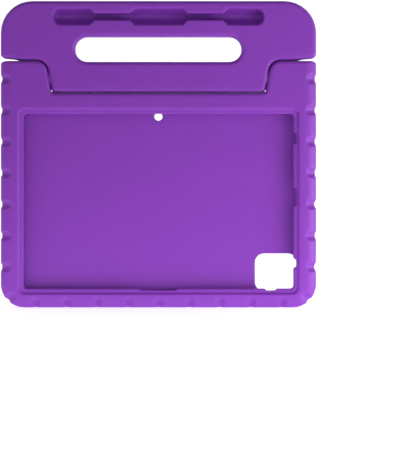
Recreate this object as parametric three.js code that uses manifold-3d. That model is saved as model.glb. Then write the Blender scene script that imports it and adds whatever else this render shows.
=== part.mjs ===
// A child's tablet case of moulded foam: a shell that holds the tablet behind a window, and a carry handle
// that folds back on a hinge between the shell's two ears and then serves as a stand.
// Millimetres. X runs to the right seen from the front, Y to the back, Z up. The case stands on its bottom
// edge, and the origin is under its middle.

import * as THREE from "three";
import { mergeVertices } from "three/addons/utils/BufferGeometryUtils.js";
import Module from "manifold-3d";

const wasm = await Module();
wasm.setup();

// The tablet that the case is moulded round
const tabletWidth = 249;
const tabletHeight = 163.5;
const tabletThickness = 7;
const tabletCornerRadius = 9;
const tabletClearance = 0.5;

// The shell round the tablet
const sideRim = 17;
const bottomRim = 13.5;
const headRim = 15;
const lipOverlap = 3.7;
const lipThickness = 3.3;
const lipStep = 2.2;
const lipBand = 4.4;
const lipCornerRadius = 5.5;
const windowCornerRadius = 3;
const windowEdgeRound = 1.5;
const stepEdgeRound = 1.4;
const backWall = 12;
const cornerRadius = 21;
const frontRound = { across: 10.5, deep: 5.5, steps: 5 };
const backRound = { across: 8, deep: 5, steps: 4 };

// The ears and the handle between them
const earHeight = 29;
const earEndRound = { across: 2.8, deep: 6, steps: 4 };
const earFrontRound = 3;
const earGapRound = { across: 3, deep: 3, steps: 3 };
const handleGap = 0.6;
const hingeHeight = 12.4;
const earSkin = 7.5;
const earSkinGap = 4;
const foldAngle = 105;
const foldEdgeRadius = 2;
const bossRadius = 10.2;
const bossCover = 0.5;

// The handle
const handleHeight = 82.4;
const handleFrontStep = 0.8;
const handleThickness = 21;
const handleTopRadius = 28.5;
const handleFrontRound = { across: 3.6, deep: 4, steps: 4 };
const handleBackRound = { across: 2.5, deep: 2.5, steps: 3 };
const tongueHalfWidth = 95.9;
const tongueLean = 5;
const tongueCornerRadius = 4;
const tongueHeelDepth = 5;
const shoulderFilletRadius = 11;
const shoulderRiseLength = 21;
const shoulderRise = 2;
const shoulderEndRadius = 4;
const shoulderSkirt = 1.3;
const skirtRise = 5;
const cheekHeight = 3;
const handHoleWidth = 149.8;
const handHoleHeight = 22.3;
const handHoleBottom = 27.6;
const handHoleRound = { across: 4, deep: 4, steps: 4 };
const gripWaveDepth = 1.3;
const gripWaveLength = 126;
const gripWaveFade = 18;
const gripWaveStart = 34;

// The pen slot in the handle's front
const penSlotHeight = 68.2;
const penDiameter = 9.6;
const penDepth = 6.6;
const pocketHeight = 14.5;
const pocketMiddleHalf = 26;
const pocketOuterStart = 58;
const pocketOuterEnd = 94.7;
const pocketSlope = 4;
const pocketEndRadius = 6;
const pocketInnerRadius = 1.5;
const pocketAxisDepth = 2.6;
const penGripOpening = 6.1;
const penSlotRound = { across: 1.2, deep: 1.2, steps: 2 };

// Hinge pins and sockets
const pinRadius = 4;
const pinRunningGap = 0.4;
const seatGap = 0.3;
const pinStubLength = 14.4;
const pinAnchorRadius = 6;
const pinAnchorLength = 16;
const pinFlangeRadius = 7.5;
const pinFlangeThickness = 1.6;
const pinInset = 1.2;
const socketRadius = 7.5;
const socketFloor = 2;
const socketFlangeRadius = 9;
const socketFlangeThickness = 1.6;
const socketInset = 0.3;
const pinEndPlay = 0.8;

// Scoops across the outer edge
const scoopPitch = 28.2;
const scoopCount = 7;
const scoopFirstHeight = 36.6;
const scoopReach = 9.6;
const scoopRadius = 5.6;
const scoopBallReach = 3.9;
const scoopTipDepth = 2.2;
const scoopDepth = 1.3;
const bottomScoopPitch = 27.7;
const bottomScoopDepth = 0.4;
const cornerScoopDepth = 1.3;
const scoopSides = 10;
const scoopSteps = 5;

// Bumps on the back
const bumpHeight = 0.8;
const bumpInset = 19;
const bumpHalfLength = 4;
const bumpHalfWidth = 2.7;
const dotInset = 33;
const dotRadius = 3;
const bottomBumpInset = 18;
const bottomDotInset = 32;

// Openings in the shell
const cameraWidth = 37.5;
const cameraHeight = 33.5;
const cameraFromMiddle = 106;
const cameraAboveBase = 31.5;
const cameraCornerRadius = 8;
const cameraRound = { across: 2, deep: 2, steps: 3 };
const soundHoleRadius = 2.4;
const soundHoleOffset = 2.5;
const soundReliefWidth = 5.2;
const soundReliefMargin = 3.5;
const soundRows = [
  { side: 1, first: 139.5, pitch: 7, count: 4 },
  { side: -1, first: 139.5, pitch: 7, count: 4 },
  { side: 1, first: 55.2, pitch: 8.3, count: 3 },
];
const pushHoleRadius = 3.8;
const pushHoleBelowPocketTop = 6;
const sideCutDepth = 8;
const sideCutCornerRadius = 3.5;
const sideCutWeb = 0.7;
const portMargin = 4.5;
const portHeight = 4.6;
const sideCuts = [
  { low: 19.6, high: 49.2 },
  { low: 89.4, high: 118.5 },
];
const lipNotches = [
  { along: "z", low: 146, high: 159, depth: 3.1 },
  { along: "z", low: 90, high: 109, depth: 3.1 },
  { along: "z", low: 35, high: 45, depth: 3.1 },
  { along: "x", low: -19, high: 18, depth: 1.6 },
  { along: "x", low: 95, high: 107, depth: 2.3 },
];
const notchSlope = 2.4;
const notchCornerRadius = 1;
const penRecessHalfLength = 114.7;
const penRecessHeight = 11.8;
const penRecessDepth = 10.6;
const penRecessCornerRadius = 2.5;
const penRidgeHeights = [4.2, 8.4];
const penRidgeRadius = 0.9;

// What follows from them
const pocketWidth = tabletWidth + 2 * tabletClearance;
const pocketTall = tabletHeight + 2 * tabletClearance;
const pocketDepth = tabletThickness + tabletClearance;
const pocketBottom = bottomRim;
const pocketTop = pocketBottom + pocketTall;
const windowHalfWidth = pocketWidth / 2 - lipOverlap;
const windowBottom = pocketBottom + lipOverlap;
const windowTop = pocketTop - lipOverlap;
const shellHalfWidth = pocketWidth / 2 + sideRim;
const shoulderFlatEnd = shellHalfWidth - shoulderRiseLength;
const shellThickness = lipStep + lipThickness + pocketDepth + backWall;
const frontFace = -(shellThickness + bumpHeight) / 2;
const backFace = frontFace + shellThickness;
const lipFace = frontFace + lipStep;
const pocketFront = lipFace + lipThickness;
const pocketBack = pocketFront + pocketDepth;
const recessFloor = pocketTop + headRim;
const earTop = recessFloor + earHeight;
const tongueBottom = recessFloor + handleGap;
const hingeY = (frontFace + backFace) / 2;
const hingeZ = tongueBottom + hingeHeight;
const shoulderZ = earTop + handleGap;
const turningRadius = shoulderZ - hingeZ;
const handleTop = tongueBottom + handleHeight;
const handleFront = frontFace + handleFrontStep;
const handleBack = handleFront + handleThickness;
const leanRate = tongueLean / (shoulderZ - tongueBottom);
const bossEnd = tongueReach(hingeZ + bossRadius) + handleGap + bossCover;
const farAway = 400;
const turnedSides = 24;
const overshoot = 1;
const skinOvershoot = 0.01;

// A closed mesh as a solid that can be joined and cut
function solid(geometry) {
  const bare = geometry.clone();
  bare.deleteAttribute("normal");
  bare.deleteAttribute("uv");
  const merged = mergeVertices(bare, 1e-4);
  return new wasm.Manifold(
    new wasm.Mesh({
      numProp: 3,
      vertProperties: merged.attributes.position.array,
      triVerts: new Uint32Array(merged.index.array),
    }),
  );
}

// The points of a polygon whose corners are rounded: each corner is [x, y, radius]
function roundedPoints(corners) {
  const points = [];
  const arcStep = Math.PI / 15;
  corners.forEach(([x, y, radius], i) => {
    const corner = new THREE.Vector2(x, y);
    if (!radius) {
      points.push(corner);
      return;
    }
    const before = corners.at(i - 1);
    const after = corners[(i + 1) % corners.length];
    const back = new THREE.Vector2(before[0], before[1]).sub(corner).normalize();
    const ahead = new THREE.Vector2(after[0], after[1]).sub(corner).normalize();
    const halfAngle = Math.acos(THREE.MathUtils.clamp(back.dot(ahead), -1, 1)) / 2;
    const middle = back.clone().add(ahead).normalize();
    const centre = corner.clone().addScaledVector(middle, radius / Math.sin(halfAngle));
    const reach = radius / Math.tan(halfAngle);
    const from = corner.clone().addScaledVector(back, reach).sub(centre);
    const to = corner.clone().addScaledVector(ahead, reach).sub(centre);
    const sweep = Math.atan2(from.cross(to), from.dot(to));
    const steps = Math.max(2, Math.ceil(Math.abs(sweep) / arcStep));
    for (let k = 0; k <= steps; k += 1) {
      const turned = from.clone().rotateAround(new THREE.Vector2(), (sweep * k) / steps);
      points.push(turned.add(centre));
    }
  });
  return points;
}

function roundedRectangle(left, right, bottom, top, radius) {
  return roundedPoints([
    [left, bottom, radius],
    [right, bottom, radius],
    [right, top, radius],
    [left, top, radius],
  ]);
}

// Corners of the right half, from the bottom up, with their mirror images
function mirrored(rightHalf) {
  const leftHalf = rightHalf.map(([x, y, radius]) => [-x, y, radius]).reverse();
  return roundedPoints([...rightHalf, ...leftHalf]);
}

function ends(round) {
  return {
    bevelEnabled: true,
    bevelThickness: round.deep,
    bevelSize: round.across,
    bevelOffset: -round.across,
    bevelSegments: round.steps,
  };
}

// An outline in the XZ plane, extruded along Y from front to back. A round makes both its edges convex.
function alongY(points, front, back, round) {
  const deep = round ? round.deep : 0;
  const geometry = new THREE.ExtrudeGeometry(new THREE.Shape(points), {
    depth: back - front - 2 * deep,
    ...(round ? ends(round) : { bevelEnabled: false }),
  });
  return geometry.translate(0, 0, deep).rotateX(Math.PI / 2).translate(0, back, 0);
}

// An outline in the YZ plane, extruded along X from left to right
function alongX(points, left, right, round) {
  const deep = round ? round.deep : 0;
  const turned = new THREE.Matrix4().set(0, 0, 1, 0, 1, 0, 0, 0, 0, 1, 0, 0, 0, 0, 0, 1);
  const geometry = new THREE.ExtrudeGeometry(new THREE.Shape(points), {
    depth: right - left - 2 * deep,
    ...(round ? ends(round) : { bevelEnabled: false }),
  });
  return geometry.translate(0, 0, deep).applyMatrix4(turned).translate(left, 0, 0);
}

// An outline in the XY plane, extruded along Z from low to high
function alongZ(points, low, high, round) {
  const deep = round ? round.deep : 0;
  const geometry = new THREE.ExtrudeGeometry(new THREE.Shape(points), {
    depth: high - low - 2 * deep,
    ...(round ? ends(round) : { bevelEnabled: false }),
  });
  return geometry.translate(0, 0, low + deep);
}

// A plate whose front and back edges have rounds of their own
function plate(points, front, back, frontEdge, backEdge) {
  const towardsFront = solid(alongY(points, front, back + farAway, frontEdge));
  const towardsBack = solid(alongY(points, front - farAway, back, backEdge));
  return towardsFront.intersect(towardsBack);
}

// A cutter whose mouth widens at each face, so that it leaves the edges of the hole rounded
function roundedHole(points, front, back, round) {
  const flare = { across: -round.across, deep: round.deep, steps: round.steps };
  return solid(alongY(points, front - skinOvershoot, back + skinOvershoot, flare));
}

function box(left, right, front, back, bottom, top) {
  const block = new THREE.BoxGeometry(right - left, back - front, top - bottom);
  return block.translate((left + right) / 2, (front + back) / 2, (bottom + top) / 2);
}

// A turned shape about the hinge's line: each point is [radius, distance along X]
function turned(profile) {
  const points = profile.map(([radius, along]) => new THREE.Vector2(radius, along));
  const lathe = new THREE.LatheGeometry(points, turnedSides);
  return lathe.rotateZ(-Math.PI / 2).translate(0, hingeY, hingeZ);
}

function joined(solids) {
  return solids.reduce((whole, next) => whole.add(next));
}

// Half the tongue's width at a height, along its leaning side and the fillet that runs into the shoulder
function tongueReach(height) {
  const side = tongueHalfWidth + leanRate * (height - tongueBottom);
  const belowShoulder = Math.min(Math.max(shoulderZ - height, 0), shoulderFilletRadius);
  const lift = shoulderFilletRadius - belowShoulder;
  const flare = shoulderFilletRadius - Math.sqrt(shoulderFilletRadius ** 2 - lift ** 2);
  return side + flare;
}

// The scoop's cutter: a round bar with a ball at its inner end, which follows the rounded edge from the front
// face round to the side. It is made for the edge at u = 0 with u running out of the shell.
function scoopBar(depth, yEnd) {
  const { across, deep } = frontRound;
  const firstAngle = Math.asin((across + scoopBallReach - scoopReach) / across);
  const path = [];
  const steps = 4;
  for (let k = 0; k <= steps; k += 1) {
    const share = k / steps;
    const angle = firstAngle + (Math.PI / 2 - firstAngle) * share;
    const surface = new THREE.Vector2(-across, frontFace + deep);
    surface.add(new THREE.Vector2(across * Math.sin(angle), -deep * Math.cos(angle)));
    const normal = new THREE.Vector2(Math.sin(angle) / across, -Math.cos(angle) / deep).normalize();
    const standOff = scoopRadius - THREE.MathUtils.lerp(scoopTipDepth, depth, share);
    surface.addScaledVector(normal, standOff);
    path.push(new THREE.Vector3(surface.x, surface.y, 0));
  }
  path.push(new THREE.Vector3(scoopRadius - depth, yEnd, 0));
  path.push(new THREE.Vector3(scoopRadius + overshoot, yEnd + scoopRadius, 0));
  const ring = new THREE.Shape();
  ring.absarc(0, 0, scoopRadius, 0, 2 * Math.PI);
  const bar = new THREE.ExtrudeGeometry(ring, {
    steps: scoopSteps,
    curveSegments: scoopSides,
    bevelEnabled: false,
    extrudePath: new THREE.CatmullRomCurve3(path),
  });
  const ball = new THREE.SphereGeometry(scoopRadius, scoopSides, scoopSides - 2);
  return solid(bar).add(solid(ball.translate(path[0].x, path[0].y, 0)));
}

// The scoop at a point of the outline, turned so that it faces out at the given angle in the XZ plane
function scoopAt(bar, x, z, outward) {
  return bar.rotate([0, THREE.MathUtils.radToDeg(-outward), 0]).translate([x, 0, z]);
}

function scoops() {
  const sideEnd = backFace - backRound.deep - overshoot;
  const bottomEnd = backFace - penRecessDepth;
  const sideBar = scoopBar(scoopDepth, sideEnd);
  const bottomBar = scoopBar(bottomScoopDepth, bottomEnd);
  const cornerBar = scoopBar(cornerScoopDepth, sideEnd);
  const cutters = [];
  for (let k = 0; k < scoopCount; k += 1) {
    const z = scoopFirstHeight + k * scoopPitch;
    cutters.push(scoopAt(sideBar, shellHalfWidth, z, 0));
    cutters.push(scoopAt(sideBar, -shellHalfWidth, z, Math.PI));
  }
  const reach = Math.floor((shellHalfWidth - cornerRadius) / bottomScoopPitch);
  for (let k = -reach; k <= reach; k += 1) {
    cutters.push(scoopAt(bottomBar, k * bottomScoopPitch, 0, -Math.PI / 2));
  }
  for (const side of [1, -1]) {
    const outward = side > 0 ? -Math.PI / 4 : (-3 * Math.PI) / 4;
    const x = side * (shellHalfWidth - cornerRadius) + cornerRadius * Math.cos(outward);
    const z = cornerRadius + cornerRadius * Math.sin(outward);
    cutters.push(scoopAt(cornerBar, x, z, outward));
  }
  return joined(cutters);
}

// A shallow bump on the back face
function bump(x, z, halfX, halfZ) {
  const depthBelow = 3 * bumpHeight;
  const dome = new THREE.SphereGeometry(1, 8, 8);
  const swell = depthBelow + bumpHeight;
  const spread = 1 / Math.sqrt(1 - (depthBelow / swell) ** 2);
  dome.scale(halfX * spread, swell, halfZ * spread);
  return solid(dome.translate(x, backFace - depthBelow, z));
}

function bumps() {
  const made = [];
  const sideBumpX = shellHalfWidth - bumpInset;
  const sideDotX = shellHalfWidth - dotInset;
  for (let k = 0; k < scoopCount - 1; k += 1) {
    const z = scoopFirstHeight + (k + 0.5) * scoopPitch;
    for (const side of [1, -1]) {
      const overCamera = side > 0 && z < cameraAboveBase + cameraHeight;
      if (!overCamera) made.push(bump(side * sideBumpX, z, bumpHalfWidth, bumpHalfLength));
      const dotZ = z + scoopPitch / 2;
      if (k < scoopCount - 2) made.push(bump(side * sideDotX, dotZ, dotRadius, dotRadius));
    }
  }
  const reach = Math.floor((shellHalfWidth - cornerRadius) / bottomScoopPitch);
  const cameraSide = cameraFromMiddle - cameraWidth / 2;
  for (let k = -reach; k < reach; k += 1) {
    const x = (k + 0.5) * bottomScoopPitch;
    if (x < cameraSide) made.push(bump(x, bottomBumpInset, bumpHalfLength, bumpHalfWidth));
    const dotX = k * bottomScoopPitch;
    if (x < cameraSide) made.push(bump(dotX, bottomDotInset, dotRadius, dotRadius));
  }
  return joined(made);
}

// The outer body of the shell: a rounded plate whose ears have round backs centred on the hinge
function shellBody() {
  const outline = roundedPoints([
    [-shellHalfWidth, 0, cornerRadius],
    [shellHalfWidth, 0, cornerRadius],
    [shellHalfWidth, farAway, 0],
    [-shellHalfWidth, farAway, 0],
  ]);
  const slab = plate(outline, frontFace, backFace, frontRound, backRound);
  const earRadius = earTop - hingeZ;
  const backAngle = Math.asin((backFace - hingeY) / earRadius);
  const side = [
    new THREE.Vector2(frontFace, -farAway),
    new THREE.Vector2(backFace, -farAway),
  ];
  const steps = 8;
  for (let k = 0; k <= steps; k += 1) {
    const angle = backAngle * (1 - k / steps);
    const y = hingeY + earRadius * Math.sin(angle);
    const z = hingeZ + earRadius * Math.cos(angle);
    side.push(new THREE.Vector2(y, z));
  }
  for (let k = 0; k <= 4; k += 1) {
    const angle = (Math.PI / 8) * k;
    const y = frontFace + earFrontRound * (1 - Math.sin(angle));
    const z = earTop - earFrontRound * (1 - Math.cos(angle));
    side.push(new THREE.Vector2(y, z));
  }
  const profile = solid(alongX(side, -shellHalfWidth, shellHalfWidth, earEndRound));
  return slab.intersect(profile);
}

// The room for the tongue: its outline with a gap all round, the sweep of its ends about the hinge, and the
// counterbores for its bosses. The floor rises behind the tongue to the slope on which the folded handle rests.
function tongueRecess() {
  const outline = mirrored([
    [tongueHalfWidth + handleGap, recessFloor, tongueCornerRadius - handleGap],
    [tongueHalfWidth + tongueLean + handleGap, earTop, shoulderFilletRadius - handleGap],
    [shellHalfWidth - earEndRound.deep, earTop + skinOvershoot, 0],
    [shellHalfWidth - earEndRound.deep, farAway, 0],
  ]);
  const slot = roundedHole(outline, frontFace, backFace, earGapRound);
  const sweepRadius = Math.hypot(backFace - hingeY, hingeZ - recessFloor) + overshoot;
  const sweep = solid(turned(sweepProfile(sweepRadius, handleGap)));
  const behind = box(-farAway, farAway, frontFace + earSkin, farAway, recessFloor, farAway);
  const counterbore = roundBar(bossRadius + handleGap, bossEnd + handleGap);
  return slot.add(sweep.intersect(solid(behind))).subtract(restBar()).add(foldEdge()).add(counterbore);
}

// The solid swept by the tongue's leaning ends about the hinge, grown by a gap, as a lathe profile. Its points
// lie closer together towards the shoulder, where the fillet flares.
function sweepProfile(sweepRadius, grow) {
  const right = [];
  const steps = 7;
  for (let k = 0; k <= steps; k += 1) {
    const radius = turningRadius * Math.sin(((Math.PI / 2) * k) / steps);
    right.push([radius, tongueReach(hingeZ + radius + grow) + grow]);
  }
  right.push([sweepRadius, tongueReach(shoulderZ) + grow]);
  const left = right.map(([radius, along]) => [radius, -along]);
  return [...left, ...right.reverse()];
}

// A round bar about the hinge's line, as long to the left as to the right
function roundBar(radius, half) {
  return solid(
    turned([
      [0, -half],
      [radius, -half],
      [radius, half],
      [0, half],
    ]),
  );
}

// The floor behind the tongue: hollow about the hinge up to its crest, then sloping down to the back
function restBar() {
  const floorRadius = hingeZ - recessFloor;
  const folded = THREE.MathUtils.degToRad(foldAngle);
  const backReach = handleBack - hingeY + seatGap;
  const crestAngle = Math.PI - Math.asin(backReach / floorRadius) - folded;
  const crestY = hingeY + floorRadius * Math.sin(crestAngle);
  const crestZ = hingeZ - floorRadius * Math.cos(crestAngle);
  const endY = backFace + overshoot;
  const endZ = crestZ + (endY - crestY) / Math.tan(folded);
  const points = [new THREE.Vector2(hingeY, recessFloor - 2 * overshoot)];
  points.push(new THREE.Vector2(endY, recessFloor - 2 * overshoot));
  points.push(new THREE.Vector2(endY, endZ));
  const steps = 4;
  for (let k = steps; k >= 0; k -= 1) {
    const angle = (crestAngle * k) / steps;
    const y = hingeY + floorRadius * Math.sin(angle);
    points.push(new THREE.Vector2(y, hingeZ - floorRadius * Math.cos(angle)));
  }
  return solid(alongX(points, -farAway, farAway));
}

// The rounded edge where that slope meets the back
function foldEdge() {
  const y = backFace - foldEdgeRadius;
  const z = recessFloor - foldEdgeRadius;
  const points = [new THREE.Vector2(y, recessFloor + overshoot)];
  const steps = 4;
  for (let k = 0; k <= steps; k += 1) {
    const angle = ((Math.PI / 2) * k) / steps;
    const at = new THREE.Vector2(Math.sin(angle), Math.cos(angle));
    points.push(at.multiplyScalar(foldEdgeRadius).add(new THREE.Vector2(y, z)));
  }
  points.push(new THREE.Vector2(backFace + overshoot, z));
  points.push(new THREE.Vector2(backFace + overshoot, recessFloor + overshoot));
  const reach = tongueReach(shoulderZ) + handleGap;
  return solid(alongX(points.reverse(), -reach, reach));
}

// The step down to the lip, the window and the pocket behind it
function tabletRoom() {
  const stepReach = windowHalfWidth + lipBand;
  const step = roundedRectangle(
    -stepReach,
    stepReach,
    windowBottom - lipBand,
    windowTop + lipBand,
    lipCornerRadius,
  );
  const stepRound = { across: stepEdgeRound, deep: stepEdgeRound, steps: 2 };
  const stepCut = roundedHole(step, frontFace, pocketFront, stepRound);
  const aboveLip = solid(
    box(-farAway, farAway, frontFace - overshoot, lipFace, -farAway, farAway),
  );
  const opening = roundedRectangle(
    -windowHalfWidth,
    windowHalfWidth,
    windowBottom,
    windowTop,
    windowCornerRadius,
  );
  const openingRound = { across: windowEdgeRound, deep: windowEdgeRound, steps: 2 };
  const openingCut = roundedHole(opening, lipFace, pocketBack - overshoot, openingRound);
  const pocket = roundedRectangle(
    -pocketWidth / 2,
    pocketWidth / 2,
    pocketBottom,
    pocketTop,
    tabletCornerRadius + tabletClearance,
  );
  const pocketCut = solid(alongY(pocket, pocketFront, pocketBack));
  return stepCut.intersect(aboveLip).add(openingCut).add(pocketCut).add(notches());
}

// Notches in the lip beside the tablet's microphones, port and buttons
function notches() {
  const cutters = lipNotches.map(({ along, low, high, depth }) => {
    const trapezium = [
      [low, -overshoot, 0],
      [high, -overshoot, 0],
      [high - notchSlope, depth, notchCornerRadius],
      [low + notchSlope, depth, notchCornerRadius],
    ];
    const side = trapezium.map(([s, t, r]) => [windowHalfWidth + t, s, r]).reverse();
    const bottom = trapezium.map(([s, t, r]) => [s, windowBottom - t, r]).reverse();
    const outline = roundedPoints(along === "z" ? side : bottom);
    return solid(alongY(outline, frontFace - overshoot, pocketFront + overshoot));
  });
  return joined(cutters);
}

function cylinderAlongY(x, z, radius, front, back, sides = 12) {
  const cylinder = new THREE.CylinderGeometry(radius, radius, back - front, sides);
  return solid(cylinder.translate(x, (front + back) / 2, z));
}

// Rows of sound holes in the back and the hollow beside the tablet that each row opens into
function soundOutlets() {
  const cutters = [];
  for (const { side, first, pitch, count } of soundRows) {
    const x = side * (pocketWidth / 2 + soundHoleOffset);
    for (let k = 0; k < count; k += 1) {
      const z = first + k * pitch;
      cutters.push(cylinderAlongY(x, z, soundHoleRadius, pocketFront + overshoot, backFace + overshoot));
    }
    const inner = side * (pocketWidth / 2 - overshoot);
    const outer = side * (pocketWidth / 2 + soundReliefWidth);
    const low = first - soundReliefMargin;
    const high = first + (count - 1) * pitch + soundReliefMargin;
    const outline = roundedRectangle(
      Math.min(inner, outer),
      Math.max(inner, outer),
      low,
      high,
      soundHoleRadius,
    );
    cutters.push(solid(alongY(outline, pocketFront + overshoot, pocketBack - overshoot)));
  }
  return joined(cutters);
}

// Cut-outs in the right side wall, open to the side and the back, with a slot through to the tablet's edge
function sideCutOuts() {
  const floor = pocketFront + sideCutWeb;
  const inner = shellHalfWidth - sideCutDepth;
  const cutters = sideCuts.map(({ low, high }) => {
    const outline = roundedPoints([
      [inner, low, sideCutCornerRadius],
      [shellHalfWidth + overshoot, low, 0],
      [shellHalfWidth + overshoot, high, 0],
      [inner, high, sideCutCornerRadius],
    ]);
    const well = solid(alongY(outline, floor, backFace + overshoot));
    const slot = roundedPoints([
      [floor + overshoot / 2, low + portMargin, portHeight / 3],
      [floor + overshoot / 2 + portHeight, low + portMargin, portHeight / 3],
      [floor + overshoot / 2 + portHeight, high - portMargin, portHeight / 3],
      [floor + overshoot / 2, high - portMargin, portHeight / 3],
    ]);
    return well.add(solid(alongX(slot, pocketWidth / 2 - overshoot, inner + overshoot)));
  });
  return joined(cutters);
}

// The pencil's place along the bottom edge, open to the back and the underside, with two ridges along it
function penRecess() {
  const front = backFace - penRecessDepth;
  const outline = roundedPoints([
    [-penRecessHalfLength, -overshoot, 0],
    [penRecessHalfLength, -overshoot, 0],
    [penRecessHalfLength, penRecessHeight, penRecessCornerRadius],
    [-penRecessHalfLength, penRecessHeight, penRecessCornerRadius],
  ]);
  const room = solid(alongY(outline, front, backFace + overshoot));
  const ridges = penRidgeHeights.map((z) => {
    const ridge = new THREE.CylinderGeometry(penRidgeRadius, penRidgeRadius, farAway, 12);
    return solid(ridge.rotateZ(Math.PI / 2).translate(0, front, z));
  });
  return room.subtract(joined(ridges));
}

function cameraCutOut() {
  const outline = roundedRectangle(
    cameraFromMiddle - cameraWidth / 2,
    cameraFromMiddle + cameraWidth / 2,
    cameraAboveBase - cameraHeight / 2,
    cameraAboveBase + cameraHeight / 2,
    cameraCornerRadius,
  );
  return roundedHole(outline, pocketFront + overshoot, backFace, cameraRound);
}

// Where the pin's anchor ends and where the socket begins along the hinge's line
const pinFace = bossEnd - pinInset;
const socketFace = bossEnd + handleGap + socketInset;
const stubEnd = pinFace + pinStubLength;
const boreEnd = stubEnd + pinEndPlay;
const socketEnd = boreEnd + socketFloor;

// The profile of a pin, grown by a gap for its seat in the tongue
function pinProfile(grow) {
  const start = pinFace - pinAnchorLength - grow;
  const flange = pinFlangeThickness + 2 * grow;
  const firstFlange = pinFace - pinAnchorLength - grow;
  const secondFlange = pinFace - pinAnchorLength / 2 - grow;
  return [
    [0, start],
    [pinFlangeRadius + grow, firstFlange],
    [pinFlangeRadius + grow, firstFlange + flange],
    [pinAnchorRadius + grow, firstFlange + flange],
    [pinAnchorRadius + grow, secondFlange],
    [pinFlangeRadius + grow, secondFlange],
    [pinFlangeRadius + grow, secondFlange + flange],
    [pinAnchorRadius + grow, secondFlange + flange],
  ];
}

function hingePin() {
  return turned([
    ...pinProfile(0),
    [pinAnchorRadius, pinFace],
    [pinRadius, pinFace],
    [pinRadius, stubEnd - 1],
    [pinRadius - 1, stubEnd],
    [0, stubEnd],
  ]);
}

function pinSeat() {
  const mouth = pinFace + shoulderFilletRadius;
  return turned([
    ...pinProfile(seatGap),
    [pinAnchorRadius + seatGap, mouth],
    [0, mouth],
  ]);
}

function hingeSocket() {
  const bore = pinRadius + pinRunningGap;
  return turned([
    [0, boreEnd],
    [bore, boreEnd],
    [bore, socketFace],
    [socketFlangeRadius, socketFace],
    [socketFlangeRadius, socketFace + socketFlangeThickness],
    [socketRadius, socketFace + socketFlangeThickness],
    [socketRadius, socketEnd],
    [0, socketEnd],
  ]);
}

function socketSeat() {
  const shoulder = socketFace + socketFlangeThickness + seatGap;
  return turned([
    [0, socketFace - 2 * socketFlangeRadius],
    [socketFlangeRadius + seatGap, socketFace - 2 * socketFlangeRadius],
    [socketFlangeRadius + seatGap, shoulder],
    [socketRadius + seatGap, shoulder],
    [socketRadius + seatGap, socketEnd + seatGap],
    [0, socketEnd + seatGap],
  ]);
}

function mirroredX(geometry) {
  const mirror = geometry.clone().scale(-1, 1, 1);
  const index = mirror.index.array;
  for (let i = 0; i < index.length; i += 3) {
    const held = index[i + 1];
    index[i + 1] = index[i + 2];
    index[i + 2] = held;
  }
  return mirror;
}

function caseShell() {
  return shellBody()
    .add(bumps())
    .subtract(tongueRecess())
    .subtract(tabletRoom())
    .subtract(cameraCutOut())
    .subtract(soundOutlets())
    .subtract(sideCutOuts())
    .subtract(penRecess())
    .subtract(
      cylinderAlongY(
        0,
        pocketTop - pushHoleBelowPocketTop,
        pushHoleRadius,
        pocketFront + overshoot,
        backFace + overshoot,
      ),
    )
    .subtract(scoops())
    .subtract(solid(socketSeat()))
    .subtract(solid(mirroredX(socketSeat())));
}

// The outline of the handle: tongue, shoulders and rounded top
function handleOutline() {
  return mirrored([
    [tongueHalfWidth, tongueBottom, tongueCornerRadius],
    [tongueHalfWidth + tongueLean, shoulderZ, shoulderFilletRadius],
    [shoulderFlatEnd, shoulderZ, handleTopRadius],
    [shellHalfWidth, shoulderZ + shoulderRise, shoulderEndRadius],
    [shellHalfWidth, handleTop, handleTopRadius],
  ]);
}

// Seen from the side the tongue's lower back is round about the hinge, so that it turns in its recess
function handleSide() {
  const radius = hingeZ - tongueBottom;
  const backAngle = Math.asin((handleBack - hingeY) / radius);
  const points = [
    new THREE.Vector2(handleFront - overshoot, tongueBottom - overshoot),
    new THREE.Vector2(hingeY, tongueBottom - overshoot),
  ];
  const steps = 8;
  for (let k = 0; k <= steps; k += 1) {
    const angle = (backAngle * k) / steps;
    const y = hingeY + radius * Math.sin(angle);
    const z = hingeZ - radius * Math.cos(angle);
    points.push(new THREE.Vector2(y, z));
  }
  points.push(new THREE.Vector2(handleBack + overshoot, hingeZ));
  points.push(new THREE.Vector2(handleBack + overshoot, farAway));
  points.push(new THREE.Vector2(handleFront - overshoot, farAway));
  return solid(alongX(points, -farAway, farAway));
}

// The grip's back is a broad wave: thinner in the middle and at the ends, fading out below the grip
function gripWave() {
  const points = [];
  const span = shellHalfWidth + overshoot;
  const steps = 24;
  for (let k = 0; k <= steps; k += 1) {
    const x = -span + (2 * span * k) / steps;
    const dip = (gripWaveDepth / 2) * (1 + Math.cos((2 * Math.PI * x) / gripWaveLength));
    points.push(new THREE.Vector2(x, handleBack - dip));
  }
  points.push(new THREE.Vector2(span, handleBack + 3 * overshoot));
  points.push(new THREE.Vector2(-span, handleBack + 3 * overshoot));
  const fade = { across: gripWaveDepth, deep: gripWaveFade, steps: 2 };
  return solid(alongZ(points, tongueBottom + gripWaveStart, handleTop + 2 * gripWaveFade, fade));
}

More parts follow.
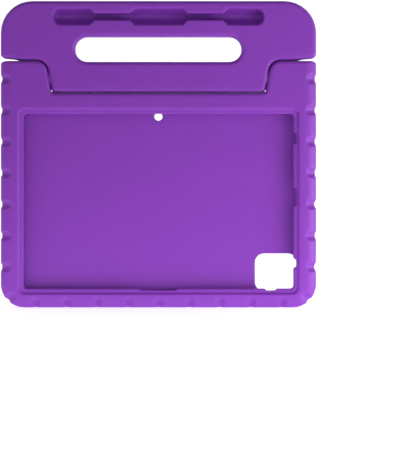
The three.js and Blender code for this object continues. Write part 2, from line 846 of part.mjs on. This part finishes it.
// The pen slot: three wide pockets for the fingers, joined by narrow openings whose lips hold the pen
function penSlot() {
  const z = tongueBottom + penSlotHeight;
  const tall = pocketHeight / 2;
  const narrow = penGripOpening / 2;
  const upperRight = [
    [pocketOuterEnd, tall, pocketEndRadius],
    [pocketOuterStart + pocketSlope, tall, pocketInnerRadius],
    [pocketOuterStart, narrow, pocketInnerRadius],
    [pocketMiddleHalf, narrow, pocketInnerRadius],
    [pocketMiddleHalf - pocketSlope, tall, pocketInnerRadius],
  ];
  const flip = (corners, sx, sz) => corners.map(([x, dz, r]) => [sx * x, z + sz * dz, r]);
  const outline = roundedPoints([
    ...flip(upperRight, 1, 1),
    ...flip([...upperRight].reverse(), -1, 1),
    ...flip(upperRight, -1, -1),
    ...flip([...upperRight].reverse(), 1, -1),
  ]);
  const mouth = roundedHole(outline, handleFront, farAway, penSlotRound);
  const aboveAxis = box(-farAway, farAway, -farAway, handleFront + pocketAxisDepth, -farAway, farAway);
  const penY = handleFront + penDepth;
  const slit = roundedRectangle(-pocketOuterStart, pocketOuterStart, z - narrow, z + narrow, narrow);
  const pocketY = handleFront + pocketAxisDepth;
  const outerHalf = (pocketOuterEnd - pocketOuterStart) / 2;
  const outerMiddle = pocketOuterStart + outerHalf;
  return joined([
    mouth.intersect(solid(aboveAxis)),
    solid(alongY(slit, pocketY - skinOvershoot, penY)),
    capsuleAlongX(0, pocketOuterEnd, penY, z, penDiameter / 2),
    capsuleAlongX(0, pocketMiddleHalf, pocketY, z, tall),
    capsuleAlongX(outerMiddle, outerHalf, pocketY, z, tall),
    capsuleAlongX(-outerMiddle, outerHalf, pocketY, z, tall),
  ]);
}

function capsuleAlongX(x, halfLength, y, z, radius) {
  const straight = 2 * (halfLength - radius);
  const capsule = new THREE.CapsuleGeometry(radius, straight, 3, 16);
  return solid(capsule.rotateZ(Math.PI / 2).translate(x, y, z));
}

// The heel behind the tongue's rounded lower corners, which fills the recess's square corners
function tongueHeel() {
  const top = tongueBottom + tongueCornerRadius;
  const heelBack = hingeY + tongueHeelDepth;
  const block = box(-tongueHalfWidth, tongueHalfWidth, hingeY, heelBack, tongueBottom, top);
  return solid(block).intersect(handleSide());
}

// The bosses round the hinge, flush with the handle's back
function bosses() {
  const before = box(-farAway, farAway, -farAway, handleBack, -farAway, farAway);
  return roundBar(bossRadius, bossEnd).intersect(solid(before));
}

// Behind the ears' skins the handle is wider: its cheeks and the skirts under its shoulders are hollowed
// about the hinge, so that they close the gaps to the ears and still turn round them
function handleBackPart() {
  const skirtZ = shoulderZ - shoulderSkirt;
  const cheek = tongueReach(shoulderZ);
  const outline = mirrored([
    [cheek, hingeZ + cheekHeight, 0],
    [cheek, skirtZ, 0],
    [shoulderFlatEnd, skirtZ, handleTopRadius],
    [shellHalfWidth, skirtZ + skirtRise, shoulderEndRadius],
    [shellHalfWidth, handleTop, handleTopRadius],
  ]);
  const wide = plate(outline, handleFront, handleBack, handleFrontRound, handleBackRound);
  const behind = box(-farAway, farAway, frontFace + earSkin + earSkinGap, farAway, -farAway, farAway);
  const tongueSweep = solid(turned(sweepProfile(turningRadius + overshoot, 0)));
  const earRoom = roundBar(turningRadius, farAway).subtract(tongueSweep);
  return wide.intersect(solid(behind)).subtract(earRoom);
}

function carryHandle() {
  const half = handHoleWidth / 2;
  const low = tongueBottom + handHoleBottom;
  const high = low + handHoleHeight;
  const hole = roundedRectangle(-half, half, low, high, handHoleHeight / 2 - skinOvershoot);
  return plate(handleOutline(), handleFront, handleBack, handleFrontRound, handleBackRound)
    .intersect(handleSide())
    .add(handleBackPart())
    .add(tongueHeel())
    .add(bosses())
    .subtract(gripWave())
    .subtract(roundedHole(hole, handleFront, handleBack, handHoleRound))
    .subtract(penSlot())
    .subtract(solid(pinSeat()))
    .subtract(solid(mirroredX(pinSeat())));
}

const foam = new THREE.MeshStandardMaterial({ color: 0x7a3aa8, roughness: 0.75, metalness: 0 });
const plastic = new THREE.MeshStandardMaterial({ color: 0x4a1f6e, roughness: 0.5, metalness: 0 });

function geometryOf(shape) {
  const mesh = shape.getMesh();
  const geometry = new THREE.BufferGeometry();
  geometry.setAttribute("position", new THREE.BufferAttribute(mesh.vertProperties, 3));
  geometry.setIndex(new THREE.BufferAttribute(mesh.triVerts, 1));
  geometry.computeVertexNormals();
  return geometry;
}

function piece(name, geometry, material) {
  const mesh = new THREE.Mesh(geometry, material);
  mesh.name = name;
  return mesh;
}

const tabletCase = new THREE.Group();
tabletCase.add(
  piece("case_shell", geometryOf(caseShell()), foam),
  piece("carry_handle", geometryOf(carryHandle()), foam),
  piece("hinge_pin_right", hingePin(), plastic),
  piece("hinge_pin_left", mirroredX(hingePin()), plastic),
  piece("hinge_socket_right", hingeSocket(), plastic),
  piece("hinge_socket_left", mirroredX(hingeSocket()), plastic),
);

export default tabletCase;
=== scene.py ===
# The looks of a child's foam tablet case: the moulded foam shell and its folding carry handle.
# Metres, in the frame of the solids: X to the right seen from the front, Y to the back, Z up.

import math

import bmesh
import bpy
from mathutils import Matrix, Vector


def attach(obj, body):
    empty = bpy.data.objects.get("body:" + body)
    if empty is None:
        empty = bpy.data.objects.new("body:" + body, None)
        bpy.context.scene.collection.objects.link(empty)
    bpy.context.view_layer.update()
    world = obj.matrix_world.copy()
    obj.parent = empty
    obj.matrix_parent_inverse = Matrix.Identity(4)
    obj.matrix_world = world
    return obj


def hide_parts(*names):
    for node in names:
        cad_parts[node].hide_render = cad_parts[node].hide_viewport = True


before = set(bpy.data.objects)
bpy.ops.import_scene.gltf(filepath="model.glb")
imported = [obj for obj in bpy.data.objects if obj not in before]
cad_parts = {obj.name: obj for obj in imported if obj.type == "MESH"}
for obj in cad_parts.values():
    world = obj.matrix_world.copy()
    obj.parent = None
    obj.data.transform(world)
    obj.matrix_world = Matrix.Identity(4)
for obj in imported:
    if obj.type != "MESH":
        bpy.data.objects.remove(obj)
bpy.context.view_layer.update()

# The photograph's width and height, the object's middle and its foot, in pixels, and pixels for each metre
PHOTO_WIDTH = 400
PHOTO_HEIGHT = 451
MIDDLE_X = 158.45
FOOT_Y = 307.0
PIXELS_PER_METRE = 1107.0

# The camera stands level with about half the object's height
CAMERA_DISTANCE = 2.5
CAMERA_HEIGHT = 0.138
SENSOR_WIDTH = 36.0

# The meshes of the foam pieces: the size of the cells they are remeshed with, how often they are smoothed
# and pushed back again, and how many triangles they may have
SHELL_VOXEL = 0.0008
HANDLE_VOXEL = 0.0007
SHELL_ROUNDS = 3
HANDLE_ROUNDS = 4
SHELL_TRIANGLES = 190_000
HANDLE_TRIANGLES = 120_000
MERGE_DISTANCE = 1e-6
SMOOTH_FACTOR = 0.5
PUSH_BACK_FACTOR = -0.52

# Colours, each between two close tones
FOAM_TONES = ((0.185, 0.030, 0.365, 1.0), (0.205, 0.035, 0.395, 1.0))
PLASTIC_TONES = ((0.060, 0.018, 0.125, 1.0), (0.075, 0.024, 0.150, 1.0))
FLOOR_TONES = ((0.86, 0.86, 0.87, 1.0), (0.88, 0.88, 0.88, 1.0))
WHITE = (1.0, 1.0, 1.0, 1.0)

# The foam: how strongly its fine mottle darkens it, how rough it is, and how it shines
FOAM_MOTTLE = 0.12
FOAM_ROUGHNESS = (0.40, 0.52)
FOAM_SHEEN = 0.04
FOAM_SHEEN_ROUGHNESS = 0.4
FOAM_SPECULAR = 0.25
PLASTIC_ROUGHNESS = 0.38
FLOOR_ROUGHNESS = 0.85

# How brightly the floor shines on the object: in a strip before its foot, to about two metres in front of it,
# and beyond that
STRIP_GLOW = 2.0
FLOOR_GLOW = 0.4
REMOTE_GLOW = 0.05
REMOTE_START = -1.6
REMOTE_END = -2.6

# The strip's middle is this far in front of the object. It is full to the first distance from that middle and
# gone at the second.
STRIP_FORWARD = 0.085
STRIP_FULL = 0.05
STRIP_GONE = 0.10

# How brightly the camera, and what the object mirrors, see floor and backdrop shine
SEEN_GLOW = 0.62

# The floor's rings from its middle out: radius and height of each, rising to a backdrop
FLOOR_RINGS = ((1.0, 0.0), (5.0, 0.0), (6.0, 0.1), (6.8, 0.35), (7.4, 0.8), (7.8, 1.5), (8.0, 2.3), (8.0, 8.0))
FLOOR_SIDES = 48

WORLD_STRENGTH = 0.25


# Meshes

def evaluated(obj):
    """obj with its modifiers applied."""
    graph = bpy.context.evaluated_depsgraph_get()
    mesh = bpy.data.meshes.new_from_object(obj.evaluated_get(graph))
    obj.modifiers.clear()
    obj.data = mesh
    return obj


def apply_modifier(obj, kind, **settings):
    """obj with one modifier of this kind and these settings applied."""
    modifier = obj.modifiers.new(kind.lower(), kind)
    for key, value in settings.items():
        setattr(modifier, key, value)
    return evaluated(obj)


def triangle_count(mesh):
    mesh.calc_loop_triangles()
    return len(mesh.loop_triangles)


def shade_smooth(mesh):
    for polygon in mesh.polygons:
        polygon.use_smooth = True


def soft_copy(node, name, voxel, rounds, triangles):
    """A smooth, finely meshed copy of a solid, with its edges softened as a mould softens them."""
    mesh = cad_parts[node].data.copy()
    mesh.materials.clear()
    work = bmesh.new()
    work.from_mesh(mesh)
    bmesh.ops.remove_doubles(work, verts=work.verts, dist=MERGE_DISTANCE)
    work.to_mesh(mesh)
    work.free()
    obj = bpy.data.objects.new(name, mesh)
    bpy.context.scene.collection.objects.link(obj)
    apply_modifier(obj, "REMESH", mode="VOXEL", voxel_size=voxel)
    for _ in range(rounds):
        apply_modifier(obj, "SMOOTH", factor=SMOOTH_FACTOR, iterations=1)
        apply_modifier(obj, "SMOOTH", factor=PUSH_BACK_FACTOR, iterations=1)
    count = triangle_count(obj.data)
    if count > triangles:
        apply_modifier(obj, "DECIMATE", ratio=triangles / count)
    shade_smooth(obj.data)
    return obj


# Materials

def new_material(name):
    material = bpy.data.materials.new(name)
    material.use_nodes = True
    nodes = material.node_tree.nodes
    shader = nodes["Principled BSDF"]
    return material, nodes, material.node_tree.links, shader


def noise(nodes, links, source, scale, detail=2.0, roughness=0.5):
    node = nodes.new("ShaderNodeTexNoise")
    node.inputs["Scale"].default_value = scale
    node.inputs["Detail"].default_value = detail
    node.inputs["Roughness"].default_value = roughness
    links.new(source, node.inputs["Vector"])
    return node


def tone_between(nodes, links, tones, pattern):
    """A colour that wanders between two tones as a pattern does."""
    tone = nodes.new("ShaderNodeMix")
    tone.data_type = "RGBA"
    tone.inputs["A"].default_value = tones[0]
    tone.inputs["B"].default_value = tones[1]
    links.new(pattern.outputs["Fac"], tone.inputs["Factor"])
    return tone


def bump(nodes, links, pattern, strength, distance):
    node = nodes.new("ShaderNodeBump")
    node.inputs["Strength"].default_value = strength
    node.inputs["Distance"].default_value = distance
    links.new(pattern.outputs["Fac"], node.inputs["Height"])
    return node


def foam_material():
    """Matte closed-cell foam: a faint mottle, a fine grain and a slight swell."""
    material, nodes, links, shader = new_material("moulded_foam")
    place = nodes.new("ShaderNodeTexCoord").outputs["Object"]
    cloud = noise(nodes, links, place, 22.0, 3.0)
    mottle = noise(nodes, links, place, 420.0)
    grain = noise(nodes, links, place, 2600.0, 2.0, 0.6)
    swell = noise(nodes, links, place, 60.0)
    tone = tone_between(nodes, links, FOAM_TONES, cloud)
    fleck = nodes.new("ShaderNodeMix")
    fleck.data_type = "RGBA"
    fleck.blend_type = "MULTIPLY"
    fleck.inputs["Factor"].default_value = FOAM_MOTTLE
    links.new(tone.outputs["Result"], fleck.inputs["A"])
    links.new(mottle.outputs["Fac"], fleck.inputs["B"])
    links.new(fleck.outputs["Result"], shader.inputs["Base Color"])
    rough = nodes.new("ShaderNodeMapRange")
    rough.inputs["To Min"].default_value = FOAM_ROUGHNESS[0]
    rough.inputs["To Max"].default_value = FOAM_ROUGHNESS[1]
    links.new(mottle.outputs["Fac"], rough.inputs["Value"])
    links.new(rough.outputs["Result"], shader.inputs["Roughness"])
    shader.inputs["Sheen Weight"].default_value = FOAM_SHEEN
    shader.inputs["Sheen Roughness"].default_value = FOAM_SHEEN_ROUGHNESS
    shader.inputs["Specular IOR Level"].default_value = FOAM_SPECULAR
    grain_bump = bump(nodes, links, grain, 0.12, 0.00012)
    swell_bump = bump(nodes, links, swell, 0.25, 0.0006)
    links.new(grain_bump.outputs["Normal"], swell_bump.inputs["Normal"])
    links.new(swell_bump.outputs["Normal"], shader.inputs["Normal"])
    return material


def plastic_material():
    """Satin moulded plastic for the hinge."""
    material, nodes, links, shader = new_material("hinge_plastic")
    place = nodes.new("ShaderNodeTexCoord").outputs["Object"]
    cloud = noise(nodes, links, place, 180.0, 3.0)
    fine = noise(nodes, links, place, 3000.0)
    tone = tone_between(nodes, links, PLASTIC_TONES, cloud)
    links.new(tone.outputs["Result"], shader.inputs["Base Color"])
    shader.inputs["Roughness"].default_value = PLASTIC_ROUGHNESS
    fine_bump = bump(nodes, links, fine, 0.08, 0.00008)
    links.new(fine_bump.outputs["Normal"], shader.inputs["Normal"])
    return material


def floor_glow(nodes, links, place):
    """How brightly each place of the floor shines on the object: it falls off far in front, and a strip
    before the object's foot is brighter."""
    split = nodes.new("ShaderNodeSeparateXYZ")
    links.new(place, split.inputs["Vector"])
    glow = nodes.new("ShaderNodeMapRange")
    glow.inputs["From Min"].default_value = REMOTE_END
    glow.inputs["From Max"].default_value = REMOTE_START
    glow.inputs["To Min"].default_value = REMOTE_GLOW
    glow.inputs["To Max"].default_value = FLOOR_GLOW
    links.new(split.outputs["Y"], glow.inputs["Value"])
    offset = nodes.new("ShaderNodeMath")
    offset.operation = "ADD"
    offset.inputs[1].default_value = STRIP_FORWARD
    links.new(split.outputs["Y"], offset.inputs[0])
    distance = nodes.new("ShaderNodeMath")
    distance.operation = "ABSOLUTE"
    links.new(offset.outputs["Value"], distance.inputs[0])
    strip = nodes.new("ShaderNodeMapRange")
    strip.interpolation_type = "SMOOTHSTEP"
    strip.inputs["From Min"].default_value = STRIP_FULL
    strip.inputs["From Max"].default_value = STRIP_GONE
    strip.inputs["To Min"].default_value = STRIP_GLOW
    links.new(distance.outputs["Value"], strip.inputs["Value"])
    links.new(glow.outputs["Result"], strip.inputs["To Max"])
    return strip.outputs["Result"]


def seen_ray(nodes, links):
    """1 for a ray by which the floor is seen, straight or in what mirrors it or lets it through, else 0."""
    path = nodes.new("ShaderNodeLightPath")
    seen = path.outputs["Is Camera Ray"]
    for ray in ("Is Glossy Ray", "Is Transmission Ray"):
        either = nodes.new("ShaderNodeMath")
        either.operation = "MAXIMUM"
        links.new(seen, either.inputs[0])
        links.new(path.outputs[ray], either.inputs[1])
        seen = either.outputs["Value"]
    return seen


def floor_material():
    """A pale floor and backdrop that look white and still take the object's shadow."""
    material, nodes, links, shader = new_material("pale_floor")
    place = nodes.new("ShaderNodeTexCoord").outputs["Object"]
    tone = tone_between(nodes, links, FLOOR_TONES, noise(nodes, links, place, 3.0))
    links.new(tone.outputs["Result"], shader.inputs["Base Color"])
    shader.inputs["Roughness"].default_value = FLOOR_ROUGHNESS
    strength = nodes.new("ShaderNodeMapRange")
    strength.inputs["To Max"].default_value = SEEN_GLOW
    links.new(seen_ray(nodes, links), strength.inputs["Value"])
    links.new(floor_glow(nodes, links, place), strength.inputs["To Min"])
    shader.inputs["Emission Color"].default_value = WHITE
    links.new(strength.outputs["Result"], shader.inputs["Emission Strength"])
    return material


# The foam pieces and the hinge's plastic

foam = foam_material()
plastic = plastic_material()
shell_voxel = SHELL_VOXEL
handle_voxel = HANDLE_VOXEL

shell = soft_copy("case_shell", "foam_shell", shell_voxel, SHELL_ROUNDS, SHELL_TRIANGLES)
handle = soft_copy("carry_handle", "foam_handle", handle_voxel, HANDLE_ROUNDS, HANDLE_TRIANGLES)
for piece, node, body in ((shell, "case_shell", "shell"), (handle, "carry_handle", "handle")):
    piece.data.materials.append(foam)
    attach(piece, body)
    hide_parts(node)

for node in ("hinge_pin_left", "hinge_pin_right", "hinge_socket_left", "hinge_socket_right"):
    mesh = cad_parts[node].data
    mesh.materials.clear()
    mesh.materials.append(plastic)


# Floor, light and camera

def floor():
    """A wide floor that curves up into a backdrop on every side."""
    work = bmesh.new()
    rings = []
    for radius, height in FLOOR_RINGS:
        ring = []
        for k in range(FLOOR_SIDES):
            angle = 2 * math.pi * k / FLOOR_SIDES
            x = radius * math.cos(angle)
            y = radius * math.sin(angle)
            ring.append(work.verts.new((x, y, height)))
        rings.append(ring)
    work.faces.new(rings[0])
    for inner, outer in zip(rings, rings[1:]):
        for k in range(FLOOR_SIDES):
            after = (k + 1) % FLOOR_SIDES
            work.faces.new((inner[k], outer[k], outer[after], inner[after]))
    mesh = bpy.data.meshes.new("floor")
    work.to_mesh(mesh)
    work.free()
    shade_smooth(mesh)
    obj = bpy.data.objects.new("floor", mesh)
    bpy.context.scene.collection.objects.link(obj)
    mesh.materials.append(floor_material())


def area_light(name, place, target, size, power):
    """A rectangular lamp at a place, turned to a target."""
    light = bpy.data.lights.new(name, "AREA")
    light.shape = "RECTANGLE"
    light.size, light.size_y = size
    light.energy = power
    obj = bpy.data.objects.new(name, light)
    obj.location = place
    aim = Vector(target) - Vector(place)
    obj.rotation_euler = aim.to_track_quat("-Z", "Y").to_euler()
    bpy.context.scene.collection.objects.link(obj)


def world_light():
    world = bpy.data.worlds.new("studio")
    world.use_nodes = True
    background = world.node_tree.nodes["Background"]
    background.inputs["Color"].default_value = WHITE
    background.inputs["Strength"].default_value = WORLD_STRENGTH
    bpy.context.scene.world = world


def camera():
    """A level camera straight in front, shifted so that the object stands where the photograph has it."""
    data = bpy.data.cameras.new("camera")
    data.sensor_fit = "HORIZONTAL"
    data.sensor_width = SENSOR_WIDTH
    frame_width = PHOTO_WIDTH / PIXELS_PER_METRE
    data.lens = CAMERA_DISTANCE * data.sensor_width / frame_width
    data.shift_x = (PHOTO_WIDTH / 2 - MIDDLE_X) / PHOTO_WIDTH
    row_of_camera = FOOT_Y - CAMERA_HEIGHT * PIXELS_PER_METRE
    data.shift_y = -(PHOTO_HEIGHT / 2 - row_of_camera) / PHOTO_WIDTH
    obj = bpy.data.objects.new("camera", data)
    obj.location = (0.0, -CAMERA_DISTANCE, CAMERA_HEIGHT)
    obj.rotation_euler = (math.pi / 2, 0.0, 0.0)
    bpy.context.scene.collection.objects.link(obj)
    bpy.context.scene.camera = obj


floor()
world_light()
area_light("side_light", (0.55, -0.32, 0.05), (0.0, 0.0, 0.15), (0.35, 0.1), 2.1)
area_light("back_light", (0.6, 1.6, 1.1), (0.0, 0.0, 0.12), (1.2, 1.0), 8.0)
camera()
bpy.context.scene.view_settings.view_transform = "Standard"
